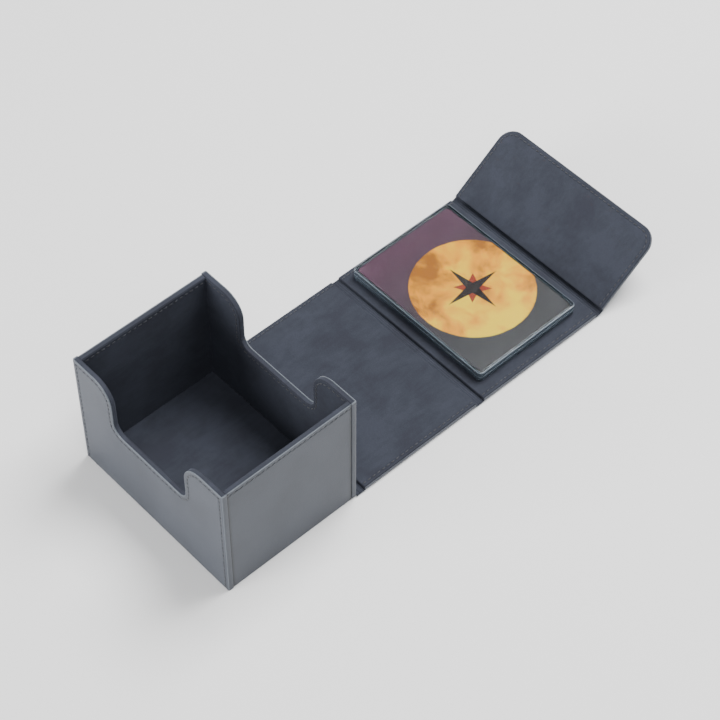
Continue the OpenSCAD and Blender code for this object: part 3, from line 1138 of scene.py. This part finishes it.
def dress(node: str, material: bpy.types.Material) -> None:
    """Gives a solid of the part its finished material.

    Args:
        node: The solid, which is kept as it is.
        material: What it is made of.
    """
    slots = frame["nodes"][node].data.materials
    slots.clear()
    slots.append(material)
    log.info("%s keeps its solid", node)


# ---------------------------------------------------------------- the box


@dataclass
class Covering:
    """What the tray and its cover share: boards with sheets laid on them and sewn."""

    finishes: Finishes
    bare_end: float = 1.2     # length left unsewn at both ends of a hem

    def lay(self, name: str, layer: Layer, sheet: Sheet, place: Place, body: str) -> None:
        """Presses a sheet, sews its hems and sets both on a body.

        Args:
            name: The board it covers, as in the names of the solids.
            layer: Which sheet of the board's two it is.
            sheet: The sheet.
            place: Puts it in space.
            body: The body it rides on.
        """
        material, thread = self.finishes.of(layer)
        solid = f"{name}_{layer.value}"
        piece = Piece.make(f"{solid}_skin", sheet.press(place), [material], layer.value)
        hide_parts(solid)
        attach(piece, body)
        if sheet.hems:
            stitches = Stitching(self.bare_end).sew(sheet.hems, place)
            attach(Piece.make(f"{solid}_stitches", stitches, [thread], layer.value), body)


@dataclass
class Tray(Covering):
    """The rigid tray: four walls and a floor, leather outside, microfibre inside and over the rims."""

    scoop_depth: float = 29.5
    scoop_half_w: float = 26.0
    ear_r: float = 12.0
    scoop_r: float = 6.0
    corner_r: float = 0.9     # leather over the corner of a board
    rim_r: float = 0.3        # pressed rim of the leather
    joint_r: float = 0.42     # leather running into the end of the next wall
    lining_r: float = 0.8     # lining over the rim
    lining_cut_r: float = 0.2
    body: str = "tray"

    def __post_init__(self) -> None:
        """Measures the tray's solids."""
        base, side = Extent.of("base_leather"), Extent.of("right_wall_leather")
        front, lining = Extent.of("front_wall_leather"), Extent.of("front_wall_lining")
        self.floor = Extent.of("floor_lining")
        self.half_w, self.half_d = base.high[0], base.high[1]
        self.leather_t, self.lining_t = base.size[2], self.floor.size[2]
        self.height = front.high[2]
        self.wall_t = lining.high[1] + self.half_d
        self.turn_over = self.wall_t - self.leather_t     # how far the lining reaches over the rim
        self.side_x, self.side_h = side.high[0], side.high[2]
        self.inner_d = side.high[1]
        self.lining_foot = self.floor.high[2] - self.lining_t

    def scooped_wall(self, half_w: float, foot: float) -> tuple[np.ndarray, np.ndarray]:
        """Outlines the front or back wall with its thumb scoop.

        Args:
            half_w: Half the wall's width.
            foot: Height of its lower edge.

        Returns:
            The whole outline, and its rim from left to right.
        """
        ear_x, ear_z = self.scoop_half_w + self.ear_r, self.height - self.ear_r
        low_x = self.scoop_half_w - self.scoop_r
        low_z = self.height - self.scoop_depth + self.scoop_r
        rim = path_of(
            (-half_w, self.height),
            *arc((-ear_x, ear_z), self.ear_r, 90, 0),
            *arc((-low_x, low_z), self.scoop_r, 180, 270),
            *arc((low_x, low_z), self.scoop_r, 270, 360),
            *arc((ear_x, ear_z), self.ear_r, 180, 90),
            (half_w, self.height),
        )
        return path_of((-half_w, foot), *rim, (half_w, foot)), rim

    def scooped_leather(self, foot: float) -> Sheet:
        """Cuts the leather of the front or back wall.

        Args:
            foot: Height of its lower edge.

        Returns:
            The sheet, which turns round the wall's two ends.
        """
        outline, rim = self.scooped_wall(self.half_w, foot)
        ends, sole = (outline[:2], outline[-2:]), outline[[-1, 0]]
        turned = [Edge(p, EdgeKind.TURNED, self.corner_r, self.wall_t) for p in ends]
        cut = [Edge(p, EdgeKind.CUT, self.rim_r, self.leather_t) for p in (rim, sole)]
        return Sheet(outline, self.leather_t, turned + cut, [Hem(outline)])

    def scooped_lining(self) -> Sheet:
        """Cuts the lining of the front or back wall, which turns over the rim to the leather.

        Returns:
            The sheet.
        """
        outline, rim = self.scooped_wall(self.half_w - self.leather_t, self.lining_foot)
        edge = Edge(rim, EdgeKind.TURNED, self.lining_r, self.turn_over)
        return Sheet(outline, self.lining_t, [edge], [Hem.in_lining(rim)])

    def side_leather(self) -> Sheet:
        """Cuts the leather of a side wall, set in a little between the ends of the others.

        Returns:
            The sheet.
        """
        outline = rectangle(-self.inner_d, self.inner_d, 0, self.side_h)
        ends = [Edge(p, EdgeKind.BUTTED, self.joint_r, self.leather_t) for p in (outline[:2], outline[2:])]
        cut = [Edge(p, EdgeKind.CUT, self.rim_r, self.leather_t) for p in (outline[1:3], outline[[3, 0]])]
        return Sheet(outline, self.leather_t, ends + cut, [Hem(outline[1:3])])

    def side_lining(self) -> Sheet:
        """Cuts the lining of a side wall, which turns over its rim.

        Returns:
            The sheet.
        """
        outline = rectangle(-self.inner_d, self.inner_d, self.lining_foot, self.side_h)
        rim = outline[1:3]
        edge = Edge(rim, EdgeKind.TURNED, self.lining_r, self.turn_over)
        return Sheet(outline, self.lining_t, [edge], [Hem.in_lining(rim)])

    def build_walls(self) -> None:
        """Makes the four walls, each from the way it faces and how far out it stands."""
        walls = (
            ("front_wall", (0, -1), self.half_d, self.scooped_leather(0), self.scooped_lining()),
            ("back_wall", (0, 1), self.half_d, self.scooped_leather(self.leather_t), self.scooped_lining()),
            ("right_wall", (1, 0), self.side_x, self.side_leather(), self.side_lining()),
            ("left_wall", (-1, 0), self.side_x, self.side_leather(), self.side_lining()),
        )
        for name, (x, y), reach, leather, lining in walls:
            out, along = np.array([x, y, 0]), np.array([-y, x, 0])
            outside = plane(reach * out, along, UP, -out)
            inside = plane((reach - self.wall_t) * out, -along, UP, out)
            self.lay(name, Layer.LEATHER, leather, outside, self.body)
            self.lay(name, Layer.LINING, lining, inside, self.body)

    def build_floor(self) -> None:
        """Makes the sheet under the tray, which runs on at the back, and the floor's lining."""
        w, d, t = self.side_x - self.leather_t, self.half_d, self.leather_t
        under = rectangle(-w, w, t - d, d)
        cut = [Edge(p, EdgeKind.CUT, self.rim_r, t) for p in (under[:2], under[2:], under[[3, 0]])]
        self.lay("base", Layer.LEATHER, Sheet(under, t, cut), plane((0, 0, 0), ACROSS, ALONG, UP),
                 self.body)
        low, high = self.floor.low, self.floor.high
        inside = rectangle(low[0], high[0], low[1], high[1])
        cut = [Edge(p, EdgeKind.CUT, self.lining_cut_r, self.lining_t)
               for p in (inside[:2], inside[1:3], inside[2:], inside[[3, 0]])]
        self.lay("floor", Layer.LINING, Sheet(inside, self.lining_t, cut),
                 plane((0, 0, high[2]), ACROSS, ALONG, DOWN), self.body)

    def build(self) -> None:
        """Makes the whole tray."""
        self.build_walls()
        self.build_floor()
        for name in ("floor", "front_wall", "back_wall", "left_wall", "right_wall"):
            dress(f"{name}_board", self.finishes.board)
        dress("front_wall_magnets", self.finishes.nickel)


@dataclass
class Cover(Covering):
    """The wrap-around cover: flat panels, the soft grooves between them and the flap."""

    bare_end: float = 0.4
    edge_r: float = 0.9       # leather over the edge of a board
    lining_edge_r: float = 0.2
    lining_set_in: float = 0.3
    stitch_inset: float = 2.3
    roll_r: float = 1.0       # lining rolling down into a groove
    flap_corner_r: float = 9.5
    strip_edge_r: float = 0.2
    crease_depth: float = 0.26
    crease_half_w: float = 0.55
    creases: tuple[float, ...] = (0.3, 0.5, 0.7)      # where they lie, as shares of the groove
    bend_rule: float = 0.4    # spacing of the lines across a groove

    def __post_init__(self) -> None:
        """Measures the cover's solids."""
        panel, strip = Extent.of("back_panel_leather"), Extent.of("spine_hinge_leather")
        self.half_w = panel.high[0]
        self.board_top = panel.high[2]
        self.leather_t = strip.size[2]
        self.top = Extent.of("back_panel_lining").high[2]
        self.lining_t = self.top - self.board_top
        self.roll_reach = self.top - self.leather_t - self.lining_t
        self.lining_inset = self.stitch_inset - self.lining_set_in    # the same stitches, from its own edge
        flap = {j["name"]: j for j in frame["joints"]}["flap_hinge"]
        self.flap_pivot = np.array(flap["pos_m"]) / MM
        self.flap_rest = math.radians(-flap["range_deg"][0])
        self.flap_start = self.flap_pivot[1] - Extent.of("flap_hinge_leather").low[1]

    def build_panel(self, name: str) -> None:
        """Makes the sheets of a flat panel.

        Args:
            name: The panel, which is also its body.
        """
        w, box = self.half_w, Extent.of(f"{name}_leather")
        outline = rectangle(-w, w, box.low[1], box.high[1])
        sides = [outline[:2], outline[2:]]
        skin = Sheet(outline, self.leather_t,
                     [Edge(p, EdgeKind.TURNED, self.edge_r, self.board_top) for p in sides],
                     [Hem(p, self.stitch_inset) for p in sides])
        self.lay(name, Layer.LEATHER, skin, plane((0, 0, 0), ACROSS, ALONG, UP), name)
        w, t = w - self.lining_set_in, self.lining_t
        outline = rectangle(-w, w, box.low[1] - t, box.high[1] + t)
        sides, ends = [outline[:2], outline[2:]], [outline[1:3], outline[[3, 0]]]
        edges = [Edge(p, EdgeKind.CUT, self.lining_edge_r, t) for p in sides]
        edges += [Edge(p, EdgeKind.TURNED, self.roll_r, self.roll_reach) for p in ends]
        cloth = Sheet(outline, t, edges, [Hem.in_lining(p, self.lining_inset) for p in sides])
        self.lay(name, Layer.LINING, cloth, plane((0, 0, self.top), ACROSS, ALONG, DOWN), name)
        dress(f"{name}_board", self.finishes.board)

    def groove_sheet(self, length: float, thickness: float, creased: bool) -> Sheet:
        """Cuts a soft strip with enough lines across it to bend.

        Args:
            length: Its length along the cover.
            thickness: Its thickness.
            creased: Whether it shows the creases of folding.

        Returns:
            The flat strip, from 0 to length.
        """
        w = self.half_w
        outline = rectangle(-w, w, 0, length)
        edges = [Edge(p, EdgeKind.CUT, self.strip_edge_r, thickness) for p in (outline[:2], outline[2:])]
        reach = w + Sheet.RUN_ON
        last = length - self.bend_rule / 4      # no line lies just inside the far end
        rules = [path_of((-reach, y), (reach, y)) for y in np.arange(self.bend_rule, last, self.bend_rule)]

        def folds(points: np.ndarray) -> np.ndarray:
            """Depth of the fold creases."""
            off = np.min([np.abs(points[:, 1] - length * c) for c in self.creases], axis=0)
            return self.crease_depth * np.cos(np.clip(off / self.crease_half_w, 0, 1) * math.pi / 2) ** 2

        return Sheet(outline, thickness, edges, rules=rules, relief=folds if creased else None)

    def build_groove(self, name: str, bodies: tuple[str, str], bent: bool) -> None:
        """Makes the two soft strips of a groove.

        Args:
            name: The groove's hinge.
            bodies: The bodies before and after it; not used.
            bent: Whether it is drawn bent, as the flap's groove is.
        """
        box = Extent.of(f"{name}_leather")
        start = box.low[1]
        length = 2 * self.flap_start if bent else box.size[1]
        for layer, thickness, face, down in (
            (Layer.LEATHER, self.leather_t, 0.0, 1.0),
            (Layer.LINING, self.lining_t, self.leather_t + self.lining_t, -1.0),
        ):
            sheet = self.groove_sheet(length, thickness, layer is Layer.LINING)
            flat = plane((0, start, face), ACROSS, ALONG, (0, 0, down))
            place = self.bend(start, length, face, down) if bent else flat
            solid = f"{name}_{layer.value}"
            material, _ = self.finishes.of(layer)
            piece = Piece.make(f"{solid}_strip", sheet.press(place), [material], layer.value)
            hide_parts(solid)
            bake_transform(piece)

    def bend(self, start: float, length: float, face: float, down: float) -> Place:
        """Rolls flat work round the arc of the flap's groove.

        Args:
            start: Where the arc begins.
            length: Flat length of the strip.
            face: Height of the visible face over the underside.
            down: 1 where the work faces down, and -1 where it faces up.

        Returns:
            The placing function.
        """
        centre_z = self.flap_pivot[2] + self.flap_start / math.tan(self.flap_rest / 2)

        def roll(points: np.ndarray) -> np.ndarray:
            """Places points on the arc.

            Args:
                points: Points of the flat work.

            Returns:
                Where they lie in space.
            """
            x, angle = points[:, 0], points[:, 1] / length * self.flap_rest
            radius = centre_z - (face + down * points[:, 2])
            return np.column_stack([x, start + radius * np.sin(angle), centre_z - radius * np.cos(angle)])

        return roll

    def flap_path(self, set_in: float, start: float, end: float) -> np.ndarray:
        """Outlines the flap's three free sides, from its left side round to its right.

        Args:
            set_in: How far they lie inside the flap's own.
            start: Where the sides begin, from the hinge's axis.
            end: Where the flap ends.

        Returns:
            The line.
        """
        w, r = self.half_w - set_in, self.flap_corner_r - set_in
        x, y = w - r, end - set_in - r
        return path_of((-w, start), *arc((-x, y), r, 180, 90), *arc((x, y), r, 90, 0), (w, start))

    def build_flap(self) -> None:
        """Makes the flap's sheets, at the angle that it rests at."""
        along = np.array([0, math.cos(self.flap_rest), math.sin(self.flap_rest)])
        up = np.array([0, -along[2], along[1]])
        under = plane(self.flap_pivot - self.flap_pivot[2] * up, ACROSS, along, up)
        over = plane(self.flap_pivot + (self.top - self.flap_pivot[2]) * up, ACROSS, along, -up)
        start, end, t = self.flap_start, self.flap_reach(), self.lining_t
        free = self.flap_path(0, start, end)
        skin = Sheet(free, self.leather_t, [Edge(free, EdgeKind.TURNED, self.edge_r, self.board_top)],
                     [Hem(free, self.stitch_inset)])
        self.lay("flap", Layer.LEATHER, skin, under, "flap")
        free = self.flap_path(self.lining_set_in, start - t, end)
        edges = [Edge(free, EdgeKind.CUT, self.lining_edge_r, t),
                 Edge(free[[-1, 0]], EdgeKind.TURNED, self.roll_r, self.roll_reach)]
        cloth = Sheet(free, t, edges, [Hem.in_lining(free, self.lining_inset)])
        self.lay("flap", Layer.LINING, cloth, over, "flap")
        dress("flap_board", self.finishes.board)
        dress("flap_magnets", self.finishes.nickel)

    def flap_reach(self) -> float:
        """Measures the flap from its hinge axis to its end, on its lining, whose top face is highest.

        Returns:
            The length.
        """
        face = self.board_top - self.flap_pivot[2]
        over_edge = face * math.sin(self.flap_rest)
        reach = Extent.of("flap_lining").high[1] - self.flap_pivot[1]
        return (reach + over_edge) / math.cos(self.flap_rest)

    def build(self) -> None:
        """Makes the whole cover."""
        self.build_groove("base_hinge", ("tray", "back_panel"), False)
        self.build_panel("back_panel")
        self.build_groove("spine_hinge", ("back_panel", "top_panel"), False)
        self.build_panel("top_panel")
        self.build_groove("flap_hinge", ("top_panel", "flap"), True)
        self.build_flap()


@dataclass
class DisplayCase:
    """The clear case in the lid: a base with a raised platform, a lift-off cover and a card between them."""

    finishes: Finishes
    corner_r: float = 2.5
    wall: float = 1.25
    window: float = 1.0
    fit: float = 0.1
    edge_r: float = 0.45      # moulded rounding of the outer edges
    lip_r: float = 0.15       # rounding where base and cover meet
    inner_bevel: float = 0.2  # inside the cover, under its window
    seam: float = 0.04        # open joint between base and cover
    card_corner_r: float = 2.0
    card_edge_r: float = 0.05
    card_gap: float = 0.02    # air between the platform and the card
    body: str = "top_panel"

    @staticmethod
    def round_over(inset: float, height: float, radius: float, out: int, up: int) -> list[Point]:
        """Rings of a quarter-round edge.

        Args:
            inset: Inset of the upright face.
            height: Height of the flat face.
            radius: Radius of the rounding.
            out: 1 where the flat face lies further in than the upright, else -1.
            up: 1 where the flat face looks up, else -1.

        Returns:
            Inset and height of each ring, from the upright face to the flat one.
        """
        angles = [math.pi / 2 * k / CASE_STEPS for k in range(CASE_STEPS + 1)]
        return [(inset + out * radius * (1 - math.cos(a)), height - up * radius * (1 - math.sin(a)))
                for a in angles]

    def base_profile(self) -> list[Point]:
        """Draws the base from its underside up its wall, in along the joint and up to its platform.

        Returns:
            Inset and height of each ring.
        """
        base, parting = Extent.of("display_base"), Extent.of("display_cover").low[2] - self.seam
        platform = self.wall + self.fit
        return [
            *reversed(self.round_over(0, base.low[2], self.edge_r, 1, -1)),
            *self.round_over(0, parting, self.lip_r, 1, 1),
            (platform, parting),
            *self.round_over(platform, base.high[2], self.lip_r, 1, 1),
        ]

    def cover_profile(self) -> list[Point]:
        """Draws the cover from its top down its outside, under its rim and up to the window's inside.

        Returns:
            Inset and height of each ring.
        """
        cover = Extent.of("display_cover")
        foot, top = cover.low[2], cover.high[2]
        ceiling = top - self.window
        return [
            *reversed(self.round_over(0, top, self.edge_r, 1, 1)),
            *self.round_over(0, foot, self.lip_r, 1, -1),
            *reversed(self.round_over(self.wall, foot, self.lip_r, -1, -1)),
            (self.wall, ceiling - self.inner_bevel),
            (self.wall + self.inner_bevel, ceiling),
        ]

    def card_profile(self) -> list[Point]:
        """Draws the card's cut edge, from its back to its printed face.

        Returns:
            Inset and height of each ring.
        """
        card, r = Extent.of("display_card"), self.card_edge_r
        back, face = card.low[2] + self.card_gap, card.high[2]
        return [(r, back), (0, back + r), (0, face - r), (r, face)]

    def build(self) -> None:
        """Makes the case and its card, each on the outline of its solid."""
        clear, card = self.finishes.clear, (self.finishes.card,)
        for node, kind, radius, profile, materials, slot, body in (
            ("display_base", "moulding", self.corner_r, self.base_profile(), clear, "clear_plastic",
             self.body),
            ("display_cover", "moulding", self.corner_r, self.cover_profile(), clear, "clear_plastic",
             "display_cover"),
            ("display_card", "print", self.card_corner_r, self.card_profile(), card, "printed_card",
             self.body),
        ):
            box = Extent.of(node)
            middle = (box.low + box.high) / 2
            outline = round_rectangle((middle[0], middle[1]), box.size[0], box.size[1], radius)
            piece = Piece.make(f"{node}_{kind}", rings_solid(outline, profile), materials, slot)
            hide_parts(node)
            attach(piece, body)
        dress("display_pad", self.finishes.foam)


# ---------------------------------------------------------------- studio


@dataclass(frozen=True)
class SoftLight:
    """A square softbox that looks at the box."""

    name: str
    place: tuple[float, float, float]     # millimetres
    size: float
    watts: float

    def build(self, target: Vector) -> None:
        """Hangs the light.

        Args:
            target: What it looks at, in metres.
        """
        lamp = bpy.data.lights.new(self.name, "AREA")
        lamp.size, lamp.energy = self.size * MM, self.watts
        holder = bpy.data.objects.new(self.name, lamp)
        holder.location = Vector(self.place) * MM
        holder.rotation_euler = (target - holder.location).to_track_quat("-Z", "Y").to_euler()
        bpy.context.scene.collection.objects.link(holder)


@dataclass(frozen=True)
class Studio:
    """Pale floor, soft light and the camera."""

    camera_place: tuple[float, float, float] = (504.1, -374.1, 868.1)
    azimuth: float = 47.33    # 0 looks along +Y, 90 along -X
    elevation: float = 51.30
    roll: float = 0.24
    lens: float = 111.05
    sensor: float = 36.0
    nearest: float = 10.0     # closest thing that the camera draws
    ambient: float = 0.42
    floor_size: float = 6000.0
    floor_drop: float = 0.32  # the stitches under the cover stand this proud of the leather
    lights: tuple[SoftLight, ...] = (
        SoftLight("key_softbox", (-480, -2050, 560), 1000, 53.0),
        SoftLight("top_softbox", (20, 750, 1350), 900, 38.0),
        SoftLight("fill_softbox", (700, -350, 1500), 900, 8.5),
    )

    def build_camera(self) -> None:
        """Makes the camera."""
        az, el = math.radians(self.azimuth), math.radians(self.elevation)
        look = Vector((-math.sin(az) * math.cos(el), math.cos(az) * math.cos(el), -math.sin(el)))
        right = look.cross(Vector(UP)).normalized()
        up = right.cross(look)
        turn = Matrix((right, up, -look)).transposed() @ Matrix.Rotation(math.radians(self.roll), 3, "Z")
        lens = bpy.data.cameras.new("camera")
        lens.lens, lens.sensor_width, lens.clip_start = self.lens, self.sensor, self.nearest * MM
        camera = bpy.data.objects.new("camera", lens)
        camera.matrix_world = Matrix.Translation(Vector(self.camera_place) * MM) @ turn.to_4x4()
        bpy.context.scene.collection.objects.link(camera)
        bpy.context.scene.camera = camera

    def build_room(self) -> None:
        """Makes the floor and the even light from all round."""
        half, level = self.floor_size / 2 * MM, -self.floor_drop * MM
        mesh = bpy.data.meshes.new("studio_floor")
        corners = [(-half, -half, level), (half, -half, level), (half, half, level), (-half, half, level)]
        mesh.from_pydata(corners, [], [(0, 1, 2, 3)])
        mesh.materials.append(StudioPaper("studio_paper").build())
        floor = bpy.data.objects.new("studio_floor", mesh)
        bpy.context.scene.collection.objects.link(floor)
        world = bpy.data.worlds.new("studio_air")
        world.use_nodes = True
        feed(world.node_tree.nodes["Background"], {"Color": (1, 1, 1, 1), "Strength": self.ambient})
        bpy.context.scene.world = world

    def build(self) -> None:
        """Sets the studio up."""
        self.build_camera()
        self.build_room()
        target = (cad_box[0] + cad_box[1]) / 2
        for light in self.lights:
            light.build(target)


def main() -> None:
    """Builds the studio and the box."""
    logging.basicConfig(level=logging.INFO, format="%(name)s: %(message)s")
    Studio().build()
    card = Extent.of("display_card")
    finishes = Finishes.make(PrintedCard("printed_card_stock", print_top=card.high[2]))
    Tray(finishes).build()
    Cover(finishes).build()
    DisplayCase(finishes).build()


if __name__ == "__main__":
    main()
